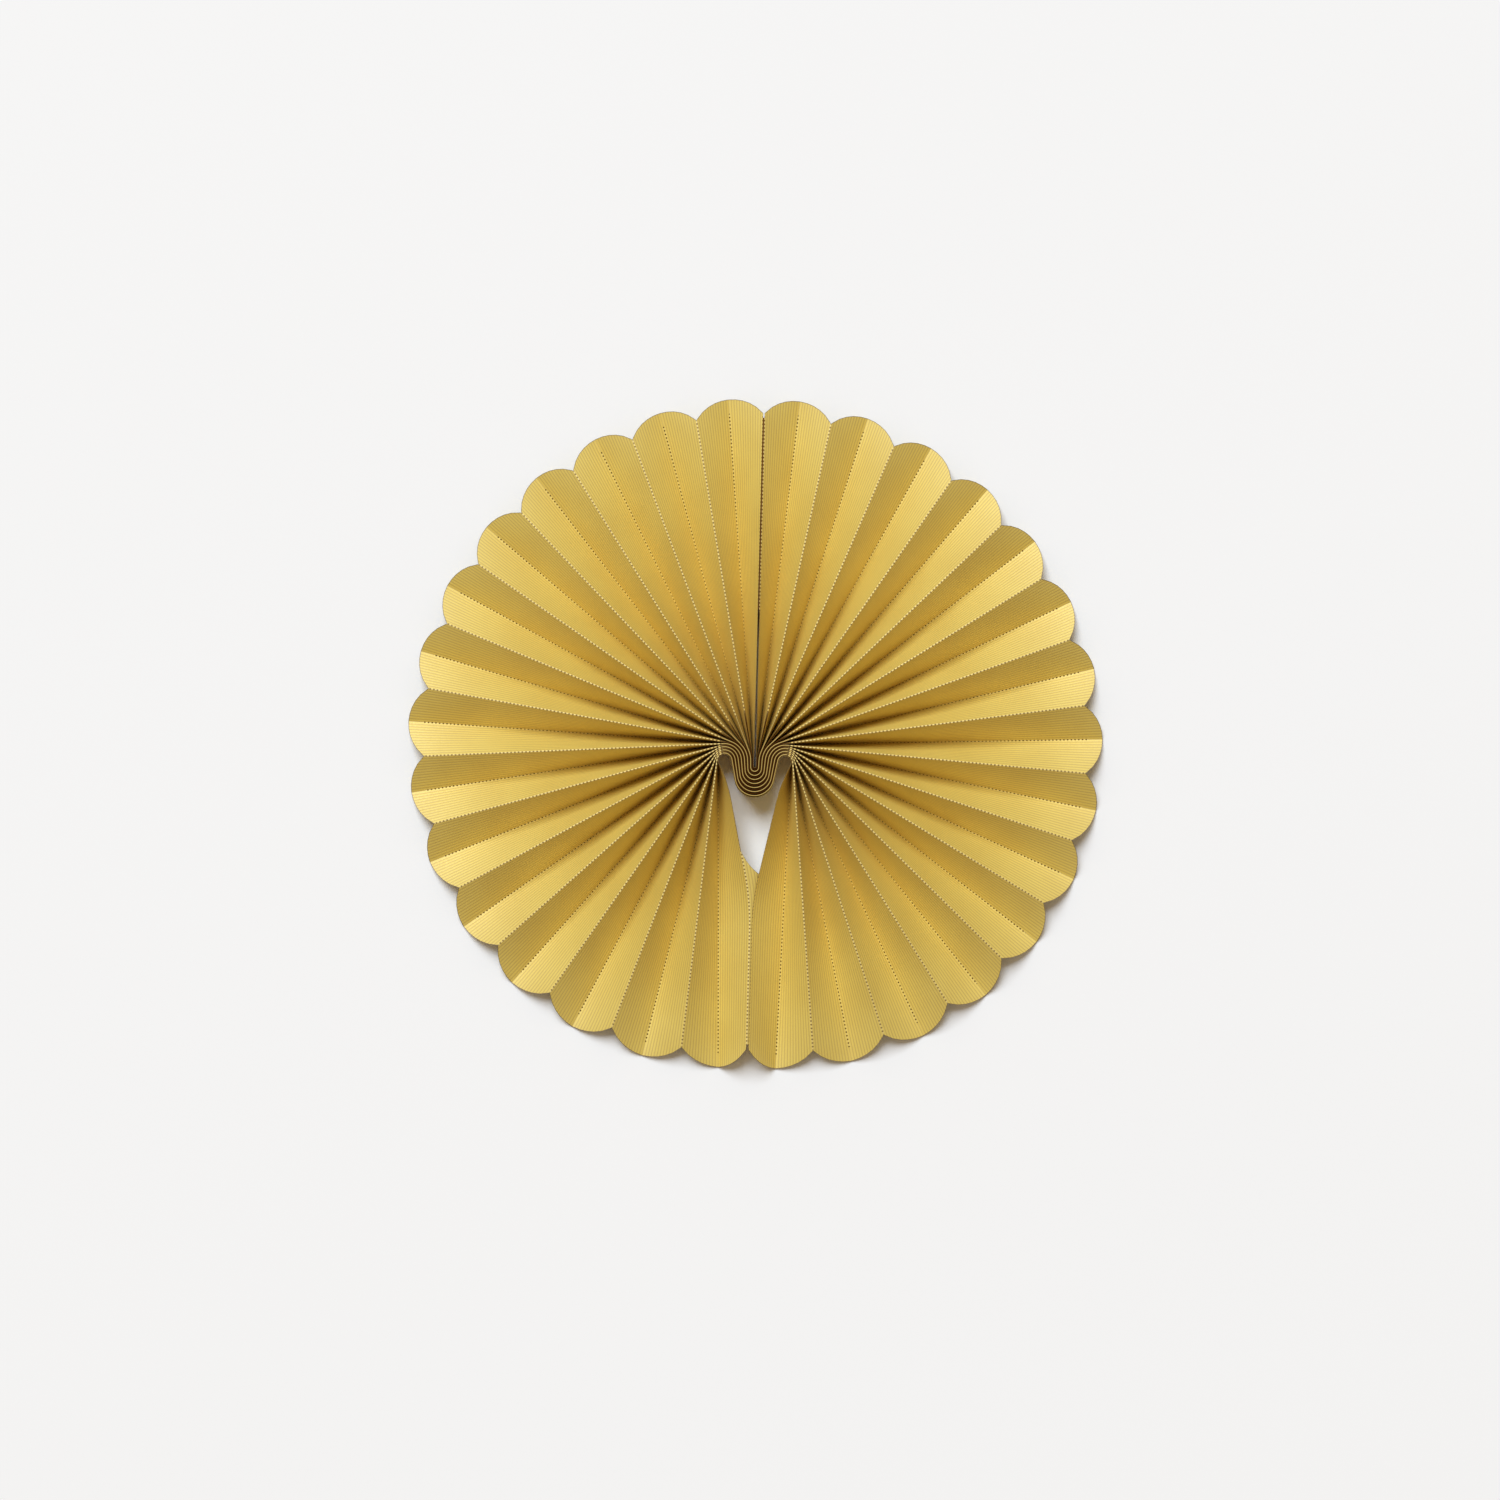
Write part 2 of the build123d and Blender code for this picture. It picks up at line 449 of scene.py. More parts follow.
class Section:
    """The folded sheet across the left half's folds, at one distance from its middle.

    The odd folds are valleys, close to the floor, and the even ones are ridges.
    """

    def __init__(self, sheet, seam, folds, reach):
        self.width, self.crease, self.last = sheet.panel_width, sheet.crease, sheet.panels
        at = [fold.at(reach) for fold in folds]
        self.place = [place for place, heading in at]
        # Past the bend the innermost folds of the two halves lean together
        past = min(max(reach / seam.seam_lean_start - 1, 0), 1)
        self.place[0].x += seam.seam_lean * past
        self.ahead = [Vector((cos(heading), sin(heading), 0)) for place, heading in at]
        self.across = [Vector((-ahead.y, ahead.x)) for ahead in self.ahead]
        height = self.width - self.crease
        gaps = [(b - a).length - self.crease for a, b in zip(self.place, self.place[1:])]
        rise = [sqrt(max(height**2 - gap**2, 0)) for gap in gaps]
        crest = [rise[0], *[(a + b) / 2 for a, b in zip(rise, rise[1:])], rise[-1]]
        valley = sheet.thickness / 2 + sheet.rim_lift * (reach / sheet.outer_reach) ** 2
        self.height = [valley + h * (1 - rank % 2) for rank, h in enumerate(crest)]

    def fold(self, rank, shift=0.0):
        """A point of a fold's flat crease."""
        flat = self.place[rank] + self.across[rank] * shift
        return Vector((flat.x, flat.y, self.height[rank]))

    def point(self, width):
        """Where the sheet is, at a flat distance from the innermost fold."""
        rank = min(int(width / self.width + TINY), self.last - 1)
        offset = width - rank * self.width
        near, far = self.crease / 2, self.width - self.crease / 2
        if offset <= near:
            return self.fold(rank, offset)
        if offset >= far:
            return self.fold(rank + 1, offset - self.width)
        start, end = self.fold(rank, near), self.fold(rank + 1, -near)
        return start.lerp(end, (offset - near) / (far - near))

    def tab_point(self, rank, side, offset, below):
        """Where a tab is, at a flat distance past its fold, below the other half's panel."""
        if offset <= self.crease / 2:
            return self.fold(rank, side * offset)
        start = self.fold(rank, side * self.crease / 2)
        edge = mirrored(self.fold(rank, -side * self.crease / 2))
        foot = mirrored(self.fold(rank - side, side * self.crease / 2))
        square = (foot - edge).cross(mirrored(self.ahead[rank])).normalized() * -side
        edge, foot = edge - square * below, foot - square * below
        crossing, offset = (edge - start).length, offset - self.crease / 2
        if offset < crossing:
            return start.lerp(edge, offset / crossing)
        return edge + (foot - edge).normalized() * (offset - crossing)


def mirrored(point):
    """The same point on the other half."""
    return Vector((-point.x, point.y, point.z))


class Blank:
    """The flat sheet before it is folded: its columns and rows of points, and its outline."""

    # From the sheet's middle to the last close row and the last even row, and the rim's strip
    hub, fan, rim = 0.039, 0.137, 0.002
    # Rows of one half: close ones, ones up to the tabs' roots, ones past them and the rim's
    hub_rows, rows_to_tab, fan_rows, rim_rows = 44, 7, 17, 5
    hub_growth = 1.25
    # Columns of a panel: two beside each of its folds, at these distances, and some between
    beside_fold, beside_crease, inside_columns = 0.00022, 0.0005, 4
    # Columns of a tab, closer together at its fold, and the first one's distance past the crease
    tab_columns, tab_growth, past_crease = 12, 1.3, 0.00006

    def __init__(self, sheet, seam):
        self.sheet, self.seam = sheet, seam
        self.chord = sheet.panel_width
        self.width = sheet.panels * sheet.panel_width
        first, last = self.beside_crease, self.chord - self.beside_crease
        offsets = [self.beside_fold, *spread(first, last, self.inside_columns + 1)]
        offsets += [self.chord - self.beside_fold, self.chord]
        self.columns = [r * self.chord + o for r in range(sheet.panels) for o in offsets]
        self.columns[0] = sheet.crease / 2
        self.columns[-2:] = [self.width - sheet.crease / 2]
        # The even rows have one at the root of each tab
        roots = [reach - seam.tab_length for reach in (sheet.inner_reach, sheet.outer_reach)]
        hub = [self.hub * share**self.hub_growth for share in spread(0, 1, self.hub_rows)]
        self.even = hub[:-1] + spread(self.hub, roots[0], self.rows_to_tab)
        self.even += spread(roots[1], self.fan, self.fan_rows)
        self.roots = {0: self.even.index(roots[0]), sheet.panels: self.even.index(roots[1])}
        self.last_row = len(self.even) + self.rim_rows

    def notch(self, width):
        """Flat distance from the sheet's middle to the line of the rim's notches."""
        inner, outer = self.sheet.inner_reach, self.sheet.outer_reach
        return inner + (outer - inner) * width / self.width

    def reach(self, width):
        """Flat distance from the sheet's middle to the scalloped rim."""
        depth = self.sheet.scallop_depth
        radius = (self.chord**2 + depth**2) / (2 * depth)
        across = width % (2 * self.chord) - self.chord
        return self.notch(width) + sqrt(radius**2 - across**2) - radius + depth

    def along(self, row, width):
        """Flat distance from the sheet's middle to a row's point in one column."""
        if row < len(self.even):
            return self.even[row]
        if row == self.last_row:
            return self.reach(width)
        share = (row - len(self.even) + 1) / self.rim_rows
        return self.fan + (self.reach(width) - self.rim - self.fan) * share


class Folder:
    """Folds points of the flat sheet, and keeps the sections that it has worked out."""

    def __init__(self, sheet, seam):
        self.sheet, self.seam = sheet, seam
        self.folds = [Fold(sheet, seam, rank) for rank in range(sheet.panels + 1)]
        self.sections = {}

    def section(self, reach):
        """The folded sheet at one distance from its middle."""
        key = round(reach, DIGITS)
        if key not in self.sections:
            self.sections[key] = Section(self.sheet, self.seam, self.folds, key)
        return self.sections[key]


def spread(first, last, count):
    """Evenly spaced values, both ends included."""
    return [first + (last - first) * k / count for k in range(count + 1)]


class PaperMesh:
    """The flower's paper as a mesh without thickness, with its flat places and its rim."""

    def __init__(self, blank, folder):
        self.blank, self.folder = blank, folder
        self.mesh = bmesh.new()
        self.flat = self.mesh.loops.layers.uv.new("Flat sheet")
        self.to_edge = self.mesh.verts.layers.float.new("to_edge")
        self.places = {}

    def grid(self, columns, rows):
        """The vertices of a flat grid, row by row."""
        size = {"x_segments": columns - 1, "y_segments": rows - 1, "size": 0.5}
        made = bmesh.ops.create_grid(self.mesh, **size)["verts"]
        table = [[None] * columns for row in range(rows)]
        for vertex in made:
            column = round((vertex.co.x + 0.5) * (columns - 1))
            table[round((vertex.co.y + 0.5) * (rows - 1))][column] = vertex
        return table

    def put(self, vertex, point, half, width, along, to_edge):
        """Moves a vertex to its folded place on one half, and notes its flat place."""
        vertex.co = point if half > 0 else mirrored(point)
        vertex[self.to_edge] = to_edge
        self.places[vertex] = (width, half * along)

    def sheet(self):
        """The whole sheet, from rim to rim, without its tabs."""
        blank = self.blank
        middle = blank.last_row
        for number, row in enumerate(self.grid(len(blank.columns), 2 * middle + 1)):
            half = 1 if number >= middle else -1
            for width, vertex in zip(blank.columns, row):
                along = blank.along(abs(number - middle), width)
                point = self.folder.section(along).point(width)
                self.put(vertex, point, half, width, along, blank.reach(width) - along)

    def tab(self, rank, half):
        """The glue tab past the first or the last fold, on half 1 (left) or -1 (right)."""
        blank, sheet, seam = self.blank, self.folder.sheet, self.blank.seam
        side = 1 if rank else -1
        edge = blank.columns[-1 if rank else 0]
        first = blank.roots[rank]
        last = blank.last_row - 1
        start, stop = blank.along(first, edge), blank.along(last, edge)
        chord = sqrt(seam.tab_width**2 + seam.tab_slope**2)
        rise = sqrt(seam.tab_hollow**2 - chord**2 / 4) / chord
        centre = Vector((seam.tab_width / 2 + seam.tab_slope * rise, 0))
        centre.y = seam.tab_slope / 2 - seam.tab_width * rise
        near = sheet.crease / 2 + blank.past_crease
        shares = [k / blank.tab_columns for k in range(blank.tab_columns + 1)]
        offsets = [near + (seam.tab_width - near) * share**blank.tab_growth for share in shares]
        offsets = [-sheet.crease / 2, 0, *offsets]
        for number, row in enumerate(self.grid(len(offsets), last - first + 1)):
            share = (blank.along(first + number, edge) - start) / (stop - start)
            for offset, vertex in zip(offsets, row):
                hollow = start
                if offset > 0:
                    hollow += centre.y + sqrt(seam.tab_hollow**2 - (offset - centre.x) ** 2)
                along = hollow + (stop - hollow) * share
                section = self.folder.section(along)
                width = rank * sheet.panel_width + side * offset
                if offset < 0:
                    point, to_edge = section.point(edge), blank.reach(edge) - along
                else:
                    below = sheet.thickness + seam.glue
                    point = section.tab_point(rank, side, offset, below)
                    to_edge = min(along - hollow, stop - along, seam.tab_width - offset)
                self.put(vertex, point, half, width, along, to_edge)

    def finish(self, name):
        """The mesh with its seams closed, its faces pointing up and its flat map."""
        for face in self.mesh.faces:
            for loop in face.loops:
                loop[self.flat].uv = self.places[loop.vert]
        bmesh.ops.remove_doubles(self.mesh, verts=self.mesh.verts[:], dist=MERGED)
        bmesh.ops.recalc_face_normals(self.mesh, faces=self.mesh.faces[:])
        top = max(self.mesh.faces, key=lambda face: abs(face.normal.z) * face.calc_area())
        if top.normal.z < 0:
            bmesh.ops.reverse_faces(self.mesh, faces=self.mesh.faces[:])
        for face in self.mesh.faces:
            face.smooth = True
        data = bpy.data.meshes.new(name)
        self.mesh.to_mesh(data)
        self.mesh.free()
        return data


def thickened(piece, thickness):
    """Gives a sheet its thickness to both sides, with cut edges in the second material."""
    solid = piece.modifiers.new("Thickness", "SOLIDIFY")
    solid.thickness = thickness
    solid.offset = 0
    solid.use_even_offset = True
    solid.material_offset_rim = 1
    bpy.context.view_layer.update()
    shown = piece.evaluated_get(bpy.context.evaluated_depsgraph_get())
    piece.modifiers.clear()
    piece.data = bpy.data.meshes.new_from_object(shown)
    mesh = bmesh.new()
    mesh.from_mesh(piece.data)
    # The cut edges meet the faces at sharp corners
    for edge in mesh.edges:
        edge.smooth = len({face.material_index for face in edge.link_faces}) == 1
    mesh.to_mesh(piece.data)
    mesh.free()


# Finishes

# A fade is where a mark is nothing and where it is full. Distances and heights are in metres,
# unless their comment says otherwise.
RIB_FADE = (0.02, 0.30)  # from the middle of a groove, in ribs
HOLE_FADE = (1.0, 0.8)  # from the middle of a hole, in radii
SCORCH_FADE = (1.5, 1.0)  # the same, for the browned paper around a hole
BRIDGE_FADE = (0.14, 0.26)  # along the fold from the middle of a hole, in pitches
BRIDGE_SIDE_FADE = (0.00048, 0.00022)  # across the fold
BEAD_HIGHLIGHT_FADE = (0.15, 0.08)  # from the sheet's middle, as the highlight painted on the ridges is strongest near the stack
CREST_FADE = (0.00025, 0.0001)  # across a fold of the stack
STACK_FADE = (0.034, 0.02)  # from the sheet's middle
STACK_SIDE_FADE = (0.002, 0.0004)  # across a fold of the stack
TAB_FADE = (0.0, 0.0001)  # past the innermost fold, on its glue tab
TAB_END_FADE = (0.003, 0.0015)  # the same, where the strip of shade painted on the tab ends
NOISE_FADE = (0.3, 0.7)  # of a noise's value

RIDGE_CLEARANCE = 0.0005  # from the cut edge to the last hole of a ridge
VALLEY_CLEARANCE = 0.0062  # the same in a valley
FOLD_TOLERANCE = 0.001  # across the sheet, for the holes of the outermost fold
RIDGE_HOLES = 0.5  # how strong the holes are on a ridge, 1 being a valley's
RIM_HIGHLIGHT = 0.6  # how strong a ridge's painted highlight is at the rim, 1 being near the stack
VALLEY_HIGHLIGHT = 0.35  # how strong a valley's painted highlight is

# How much of its colour each mark puts on the paper
CLOUD_SHARE = 0.35
FIBRE_SHARE = 0.12
# The next share is for the shade painted over the whole stack
STACK_SHADE_SHARE = 0.2
SCORCH_SHARE = 0.4
HOLE_SHARE = 0.85
BEAD_SHARE = 0.9
EDGE_CLOUD_SHARE = 0.25

STACK_METAL = 0.4  # how far the stack's crests go from the paper's share of metal to 1
FIBRE_ROUGHNESS = 0.12  # added where there are fibres
STACK_ROUGHNESS = 0.5  # added between the crests of the stack
EDGE_ROUGHNESS = 0.7
EDGE_FIBRE_ROUGHNESS = 0.2  # added where there are fibres

RIB_HEIGHT = 0.00004
FIBRE_HEIGHT = 0.00003
BEAD_HEIGHT = 0.00012
HOLE_DEPTH = 0.0002
EDGE_HEIGHT = 0.00004

FLOOR_CLOUDS = 3.0  # in a metre
FLOOR_SHADE = 0.99  # of the floor's colour, in its clouds
FLOOR_ROUGHNESS = 0.9
FLOOR_GLOSS = 0.2


def node(tree, kind, inputs=(), **settings):
    """A new node with its settings, and its inputs set or linked, by name or number."""
    made = tree.nodes.new(kind)
    for name, value in settings.items():
        setattr(made, name, value)
    for key, value in dict(inputs).items():
        if isinstance(value, bpy.types.NodeSocket):
            tree.links.new(value, made.inputs[key])
        else:
            made.inputs[key].default_value = value
    return made


def reckon(tree, operation, *values, clamp=False):
    """A sum on one or more values."""
    inputs = dict(enumerate(values))
    return node(tree, "ShaderNodeMath", inputs, operation=operation, use_clamp=clamp).outputs[0]


def fade(tree, value, start, end):
    """0 where a value is at its start, 1 where it is at its end, smooth between."""
    inputs = {"Value": value, "From Min": start, "From Max": end}
    made = node(tree, "ShaderNodeMapRange", inputs, interpolation_type="SMOOTHSTEP")
    return made.outputs["Result"]


def blend(tree, share, first, second):
    """Two colours, mixed."""
    # The Mix node has sockets for each kind of data, and these are the ones for colours
    inputs = {0: share, 6: first, 7: second}
    return node(tree, "ShaderNodeMix", inputs, data_type="RGBA").outputs[2]


def noise(tree, place, scale, detail):
    """Cloudy noise, mostly between 0.3 and 0.7."""
    inputs = {"Vector": place, "Scale": scale, "Detail": detail}
    return node(tree, "ShaderNodeTexNoise", inputs).outputs["Fac"]


def group(name, inputs, results):
    """An empty node group, with the sockets inside it that read and write its own."""
    tree = bpy.data.node_groups.new(name, "ShaderNodeTree")
    for in_out, sockets in (("INPUT", inputs), ("OUTPUT", results)):
        for label, default in sockets.items():
            kind = "NodeSocketVector" if default is None else "NodeSocketFloat"
            socket = tree.interface.new_socket(label, in_out=in_out, socket_type=kind)
            if default is not None:
                socket.default_value = default
    return tree, node(tree, "NodeGroupInput").outputs, node(tree, "NodeGroupOutput").inputs


def placed(tree, made, inputs):
    """The outputs of a node group, which is placed with these inputs."""
    return node(tree, "ShaderNodeGroup", inputs, node_tree=made).outputs


def rib_group():
    """Embossed ribs that run along the folds, with a mask for the shade painted in their grooves.
    """
    results = {"Height": 0.0, "Groove shade": 0.0}
    tree, given, out = group("Embossed ribs", {"Across": 0.0, "Pitch": 0.00135}, results)
    ribs = reckon(tree, "DIVIDE", given["Across"], given["Pitch"])
    height = fade(tree, reckon(tree, "PINGPONG", ribs, 0.5), *RIB_FADE)
    tree.links.new(height, out["Height"])
    tree.links.new(reckon(tree, "SUBTRACT", 1.0, height), out["Groove shade"])
    return tree


def perforation_group():
    """Masks for the holes along each fold, which are painted shade, the brown around them and the
    beads between, which take a painted highlight.

    Two more are for the stack, where shade is painted: where it is, and where its pale crests are,
    which that shade leaves out.
    """
    inputs = {"Across": 0.0, "Along": 0.0, "Panel width": 0.0175, "Pitch": 0.0016}
    inputs |= {"Radius": 0.0003, "Start": 0.025, "To edge": 1.0, "Last fold": 0.525}
    results = {"Hole": 0.0, "Scorch": 0.0, "Bead highlight": 0.0, "Crest": 0.0, "Stack": 0.0}
    tree, given, out = group("Perforations", inputs, results)
    folds = reckon(tree, "DIVIDE", given["Across"], given["Panel width"])
    nearest = reckon(tree, "ROUND", folds)
    offset = reckon(tree, "SUBTRACT", folds, nearest)
    offset = reckon(tree, "MULTIPLY", offset, given["Panel width"])
    aside = reckon(tree, "ABSOLUTE", offset)
    along = reckon(tree, "ABSOLUTE", given["Along"])
    step = reckon(tree, "DIVIDE", along, given["Pitch"])
    step = reckon(tree, "SUBTRACT", step, reckon(tree, "ROUND", step))
    # 1 in a valley, and 1 on a ridge apart from the innermost fold
    valley = reckon(tree, "ABSOLUTE", reckon(tree, "MODULO", nearest, 2.0))
    ridge = reckon(tree, "SUBTRACT", 1.0, valley)
    ridge = reckon(tree, "MULTIPLY", ridge, nearest, clamp=True)
    # The outermost fold is perforated all along, the others start outside the stack
    outermost = [given["Across"], given["Last fold"], FOLD_TOLERANCE]
    outermost = reckon(tree, "COMPARE", *outermost)
    started = reckon(tree, "GREATER_THAN", along, given["Start"])
    started = reckon(tree, "MAXIMUM", started, outermost)
    extra = VALLEY_CLEARANCE - RIDGE_CLEARANCE
    clearance = reckon(tree, "MULTIPLY_ADD", valley, extra, RIDGE_CLEARANCE)
    inside = reckon(tree, "GREATER_THAN", given["To edge"], clearance)
    there = reckon(tree, "MULTIPLY", started, inside)
    # Round marks, painted dark as the shade seen through a hole, which show less on a ridge
    # because the fold pulls the holes open
    place = {"X": offset, "Y": reckon(tree, "MULTIPLY", step, given["Pitch"])}
    place = node(tree, "ShaderNodeCombineXYZ", place).outputs[0]
    away = node(tree, "ShaderNodeVectorMath", {0: place}, operation="LENGTH").outputs["Value"]
    away = reckon(tree, "DIVIDE", away, given["Radius"])
    strength = reckon(tree, "MULTIPLY_ADD", ridge, RIDGE_HOLES - 1, 1.0)
    hole = reckon(tree, "MULTIPLY", fade(tree, away, *HOLE_FADE), there)
    tree.links.new(reckon(tree, "MULTIPLY", hole, strength), out["Hole"])
    scorch = reckon(tree, "MULTIPLY", fade(tree, away, *SCORCH_FADE), there)
    tree.links.new(scorch, out["Scorch"])
    # Beads, which are the bridges between the holes and take a painted highlight, strongest on the
    # ridges near the stack
    bead = fade(tree, reckon(tree, "ABSOLUTE", step), *BRIDGE_FADE)
    bead = reckon(tree, "MULTIPLY", bead, fade(tree, aside, *BRIDGE_SIDE_FADE))
    highlight = fade(tree, along, *BEAD_HIGHLIGHT_FADE)
    highlight = reckon(tree, "MULTIPLY_ADD", highlight, 1 - RIM_HIGHLIGHT, RIM_HIGHLIGHT)
    highlight = reckon(tree, "MULTIPLY", highlight, ridge)
    highlight = reckon(tree, "MAXIMUM", highlight, reckon(tree, "MULTIPLY", valley, VALLEY_HIGHLIGHT))
    bead = reckon(tree, "MULTIPLY", bead, highlight)
    tree.links.new(reckon(tree, "MULTIPLY", bead, there), out["Bead highlight"])
    # In the stack every second ridge has a pale crest, which the shade painted between the folds
    # leaves out
    second = reckon(tree, "PINGPONG", reckon(tree, "MULTIPLY", nearest, 0.5), 1.0)
    second = reckon(tree, "SUBTRACT", 1.0, second)
    crest = reckon(tree, "MULTIPLY", fade(tree, aside, *CREST_FADE), second)
    tree.links.new(crest, out["Crest"])
    stack = fade(tree, along, *STACK_FADE)
    stack = reckon(tree, "MULTIPLY", stack, fade(tree, aside, *STACK_SIDE_FADE))
    tree.links.new(stack, out["Stack"])
    return tree


def grain_group():
    """Clouds and fine fibres that vary over a sheet of paper, and the fibres' height."""
    inputs = {"Place": None, "Cloud scale": 45.0, "Fibre scale": 1400.0}
    results = {"Cloud": 0.0, "Fibre": 0.0, "Height": 0.0}
    tree, given, out = group("Paper grain", inputs, results)
    cloud = noise(tree, given["Place"], given["Cloud scale"], detail=3.0)
    fibre = noise(tree, given["Place"], given["Fibre scale"], detail=4.0)
    tree.links.new(fade(tree, cloud, *NOISE_FADE), out["Cloud"])
    tree.links.new(fade(tree, fibre, *NOISE_FADE), out["Fibre"])
    tree.links.new(fibre, out["Height"])
    return tree


def shader(name):
    """A new material's tree and its surface shader."""
    made = bpy.data.materials.new(name)
    made.use_nodes = True
    return made, made.node_tree, made.node_tree.nodes["Principled BSDF"]


def bump(tree, surface, height):
    """Gives a surface a height in metres."""
    inputs = {"Strength": 1.0, "Distance": 1.0, "Height": height}
    tree.links.new(node(tree, "ShaderNodeBump", inputs).outputs[0], surface.inputs["Normal"])


def paper_face(sheet, paper, ribs, perforations, grain):
    """The sheet's faces: pearly gold, ribbed, perforated along the folds, browned at the cut, with
    painted shade and highlights.
    """
    made, tree, surface = shader("gold paper")
    flat = node(tree, "ShaderNodeUVMap", uv_map="Flat sheet").outputs[0]
    flat_places = node(tree, "ShaderNodeSeparateXYZ", {0: flat}).outputs
    to_edge = node(tree, "ShaderNodeAttribute", attribute_name="to_edge").outputs["Fac"]
    pitch = sheet.panel_width / paper.ribs
    rib = placed(tree, ribs, {"Across": flat_places["X"], "Pitch": pitch})
    grains = placed(tree, grain, {"Place": flat})
    inputs = {
        "Across": flat_places["X"],
        "Along": flat_places["Y"],
        "To edge": to_edge,
        "Panel width": sheet.panel_width,
        "Pitch": paper.hole_pitch,
        "Radius": paper.hole_radius,
        "Start": paper.hole_start,
        "Last fold": sheet.panels * sheet.panel_width,
    }
    marks = placed(tree, perforations, inputs)
    # Shade painted between the folds of the stack, which leaves out the pale crests
    below = reckon(tree, "SUBTRACT", 1.0, marks["Crest"])
    below = reckon(tree, "MULTIPLY", below, marks["Stack"])
    below = reckon(tree, "MULTIPLY", below, paper.stack_shade)
    # The glue tab at the innermost fold shows in the upper seam, where little light comes, so
    # shade is painted on it
    past = reckon(tree, "MULTIPLY", flat_places["X"], -1.0)
    seam_shade = fade(tree, past, *TAB_FADE)
    seam_shade = reckon(tree, "MULTIPLY", seam_shade, fade(tree, past, *TAB_END_FADE))
    browned = fade(tree, to_edge, paper.browning, paper.browning / 2)
    # Each layer's colour covers a share of what is below it
    layers = [
        (reckon(tree, "MULTIPLY", grains["Cloud"], CLOUD_SHARE), paper.deep_gold),
        # Shade painted in the ribs' grooves
        (reckon(tree, "MULTIPLY", rib["Groove shade"], paper.rib_groove_shade), paper.shade_and_scorch_brown),
        (reckon(tree, "MULTIPLY", grains["Fibre"], FIBRE_SHARE), paper.deep_gold),
        # Shade painted over the whole stack, and a deeper one between its folds
        (reckon(tree, "MULTIPLY", marks["Stack"], STACK_SHADE_SHARE), paper.shade_and_scorch_brown),
        (below, paper.painted_shade_brown),
        (seam_shade, paper.painted_shade_brown),
        (reckon(tree, "MULTIPLY", marks["Scorch"], SCORCH_SHARE), paper.shade_and_scorch_brown),
        # The holes painted dark, as the shade seen through them
        (reckon(tree, "MULTIPLY", marks["Hole"], HOLE_SHARE), paper.edge_brown),
        # Highlights painted on the beads between the holes
        (reckon(tree, "MULTIPLY", marks["Bead highlight"], BEAD_SHARE), paper.bead_highlight),
        (browned, paper.edge_brown),
    ]
    colour = (*paper.gold, 1)
    for share, layer in layers:
        colour = blend(tree, share, colour, (*layer, 1))
    tree.links.new(colour, surface.inputs["Base Color"])
    rough = reckon(tree, "MULTIPLY_ADD", grains["Fibre"], FIBRE_ROUGHNESS, paper.roughness)
    rough = reckon(tree, "MULTIPLY_ADD", below, STACK_ROUGHNESS, rough)
    tree.links.new(rough, surface.inputs["Roughness"])
    # Where shade is painted, on the stack, the seam's tab and the holes, the paper takes no white
    # shine, so it is metallic there
    dark = reckon(tree, "MULTIPLY", marks["Stack"], STACK_METAL)
    for place in (below, seam_shade, marks["Hole"]):
        dark = reckon(tree, "MAXIMUM", dark, place)
    metal = reckon(tree, "MULTIPLY_ADD", dark, 1 - paper.metal, paper.metal)
    tree.links.new(metal, surface.inputs["Metallic"])
    surface.inputs["Specular IOR Level"].default_value = paper.gloss
    surface.inputs["IOR"].default_value = paper.ior
    height = reckon(tree, "MULTIPLY", rib["Height"], RIB_HEIGHT)
    height = reckon(tree, "MULTIPLY_ADD", grains["Height"], FIBRE_HEIGHT, height)
    height = reckon(tree, "MULTIPLY_ADD", marks["Bead highlight"], BEAD_HEIGHT, height)
    height = reckon(tree, "MULTIPLY_ADD", marks["Hole"], -HOLE_DEPTH, height)
    bump(tree, surface, height)
    return made


def cut_edge(paper, grain):
    """The sheet's cut edges, browned by the cutter."""
    made, tree, surface = shader("cut paper edge")
    place = node(tree, "ShaderNodeTexCoord").outputs["Object"]
    grains = placed(tree, grain, {"Place": place})
    share = reckon(tree, "MULTIPLY", grains["Cloud"], EDGE_CLOUD_SHARE)
    colour = blend(tree, share, (*paper.edge_brown, 1), (*paper.deep_gold, 1))
    tree.links.new(colour, surface.inputs["Base Color"])
    rough = [grains["Fibre"], EDGE_FIBRE_ROUGHNESS, EDGE_ROUGHNESS]
    tree.links.new(reckon(tree, "MULTIPLY_ADD", *rough), surface.inputs["Roughness"])
    bump(tree, surface, reckon(tree, "MULTIPLY", grains["Height"], EDGE_HEIGHT))
    return made


def floor_finish(colour):
    """A plain pale floor, very slightly cloudy."""
    made, tree, surface = shader("pale floor")
    place = node(tree, "ShaderNodeTexCoord").outputs["Object"]
    shaded = (*[c * FLOOR_SHADE for c in colour], 1)
    cloud = noise(tree, place, FLOOR_CLOUDS, detail=2.0)
    colour = blend(tree, cloud, (*colour, 1), shaded)
    tree.links.new(colour, surface.inputs["Base Color"])
    surface.inputs["Roughness"].default_value = FLOOR_ROUGHNESS
    surface.inputs["Specular IOR Level"].default_value = FLOOR_GLOSS
    return made


# Pieces

FLOOR_DROP = 0.0002  # keeps the floor clear of the sheet's underside
SENSOR = 36.0  # width of the camera's sensor and unit of its lens, in millimetres


def linked(name, data):
    """A new object in the scene."""
    made = bpy.data.objects.new(name, data)
    bpy.context.scene.collection.objects.link(made)
    return made


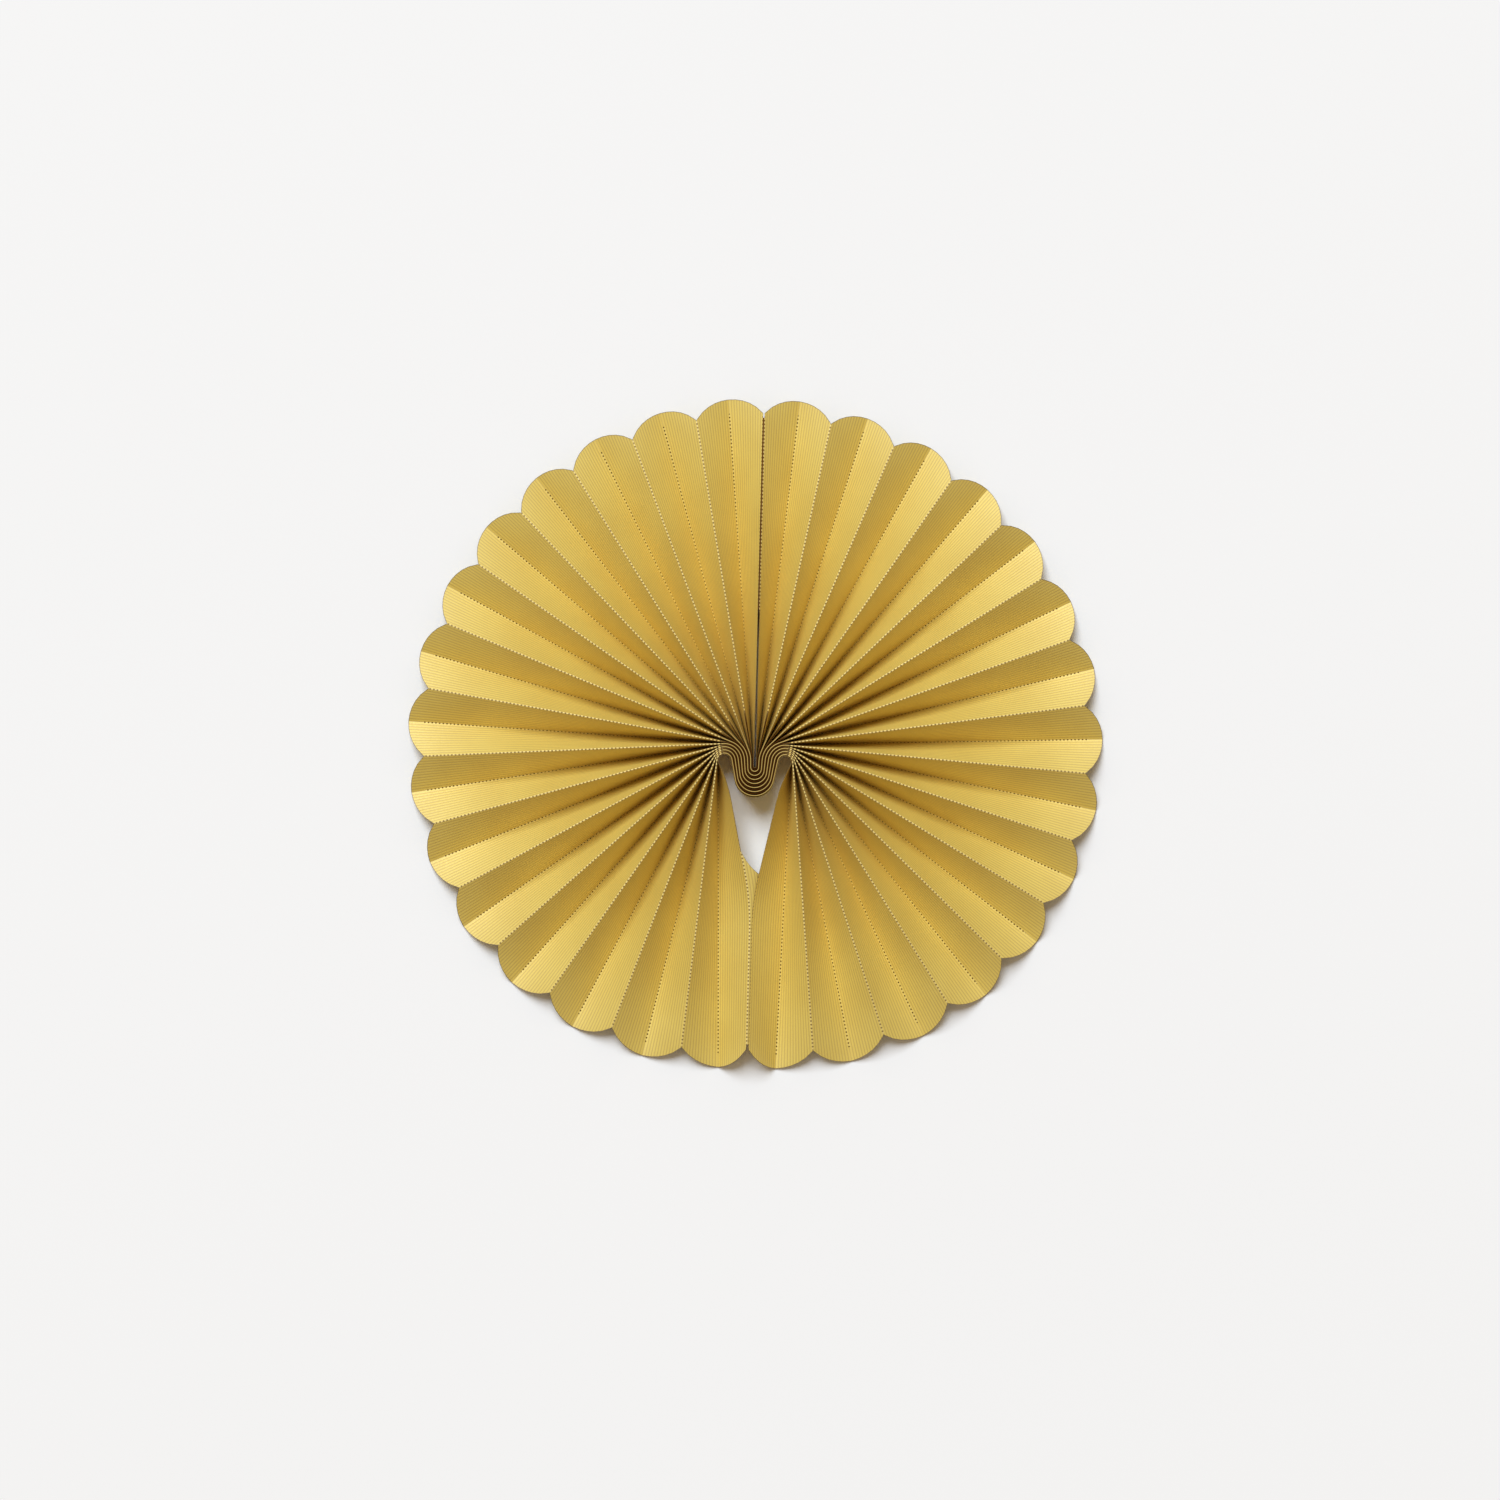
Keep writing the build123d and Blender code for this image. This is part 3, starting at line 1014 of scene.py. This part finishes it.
class FLOWER_OT_fold_sheet(bpy.types.Operator):
    """Fold the die-cut sheet into the flower, with its glue tabs and its finish"""

    bl_idname = "paper_flower.fold_sheet"
    bl_label = "Fold the sheet"

    def execute(self, context):
        scene = context.scene
        sheet, seam, paper = scene.flower_sheet, scene.flower_seam, scene.flower_paper
        blank = Blank(sheet, seam)
        made = PaperMesh(blank, Folder(sheet, seam))
        made.sheet()
        made.tab(sheet.panels, 1)
        made.tab(0, -1)
        piece = linked("paper_flower", made.finish("paper_flower"))
        grain = grain_group()
        face = paper_face(sheet, paper, rib_group(), perforation_group(), grain)
        for finish in (face, cut_edge(paper, grain)):
            piece.data.materials.append(finish)
        thickened(piece, sheet.thickness)
        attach(piece, "root")
        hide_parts(NODE)
        return {"FINISHED"}


class FLOWER_OT_set_studio(bpy.types.Operator):
    """Lay the floor, hang the light and set the camera straight above"""

    bl_idname = "paper_flower.set_studio"
    bl_label = "Set the studio"

    def execute(self, context):
        scene = context.scene
        studio = scene.flower_studio
        mesh = bmesh.new()
        bmesh.ops.create_grid(mesh, x_segments=2, y_segments=2, size=studio.floor_size / 2)
        data = bpy.data.meshes.new("floor")
        mesh.to_mesh(data)
        mesh.free()
        floor = linked("floor", data)
        floor.location.z = -FLOOR_DROP
        data.materials.append(floor_finish(studio.floor_colour))
        lamp = bpy.data.lights.new("key light", "AREA")
        lamp.energy, lamp.size = studio.key_power, studio.key_size
        lamp.color = studio.key_colour
        key = linked("key light", lamp)
        flat = Vector((-sin(studio.key_side), cos(studio.key_side), 0)) * cos(studio.key_height)
        key.location = (flat + Vector((0, 0, sin(studio.key_height)))) * studio.key_distance
        key.rotation_euler = key.location.to_track_quat("Z", "Y").to_euler()
        world = scene.world or bpy.data.worlds.new("even light")
        scene.world = world
        world.use_nodes = True
        tree = world.node_tree
        # The camera sees the floor's colour past the floor, and the pieces are lit by the sky
        seen = node(tree, "ShaderNodeLightPath").outputs["Is Camera Ray"]
        warm = (*[c * studio.sky for c in studio.sky_colour], 1)
        colour = blend(tree, seen, warm, (*studio.floor_colour, 1))
        tree.links.new(colour, tree.nodes["Background"].inputs["Color"])
        camera = linked("camera", bpy.data.cameras.new("camera"))
        camera.data.sensor_width = SENSOR
        camera.data.lens = SENSOR * studio.camera_height / studio.view_width
        camera.rotation_euler.z = studio.roll
        right = Vector((cos(studio.roll), sin(studio.roll)))
        aim = right * studio.aim[0] + Vector((-right.y, right.x)) * studio.aim[1]
        camera.location = (aim.x, aim.y, studio.camera_height)
        scene.camera = camera
        scene.view_settings.view_transform = "Standard"
        return {"FINISHED"}


class FLOWER_PT_panel(bpy.types.Panel):
    """The flower's settings and steps"""

    bl_idname = "FLOWER_PT_panel"
    bl_label = "Paper flower"
    bl_space_type = "VIEW_3D"
    bl_region_type = "UI"
    bl_category = "Paper flower"

    def draw(self, context):
        layout, scene = self.layout, context.scene
        for settings in (scene.flower_sheet, scene.flower_seam, scene.flower_paper):
            for name in settings.__annotations__:
                layout.prop(settings, name)
        layout.operator(FLOWER_OT_fold_sheet.bl_idname)
        for name in scene.flower_studio.__annotations__:
            layout.prop(scene.flower_studio, name)
        layout.operator(FLOWER_OT_set_studio.bl_idname)


SETTINGS = {
    "flower_sheet": SheetSettings,
    "flower_seam": SeamSettings,
    "flower_paper": PaperSettings,
    "flower_studio": StudioSettings,
}
CLASSES = (*SETTINGS.values(), FLOWER_OT_fold_sheet, FLOWER_OT_set_studio, FLOWER_PT_panel)


def register():
    for each in CLASSES:
        bpy.utils.register_class(each)
    for name, settings in SETTINGS.items():
        setattr(bpy.types.Scene, name, PointerProperty(type=settings))


def unregister():
    for name in SETTINGS:
        delattr(bpy.types.Scene, name)
    for each in reversed(CLASSES):
        bpy.utils.unregister_class(each)


def main():
    register()
    bpy.ops.paper_flower.fold_sheet()
    bpy.ops.paper_flower.set_studio()


if __name__ == "__main__":
    main()
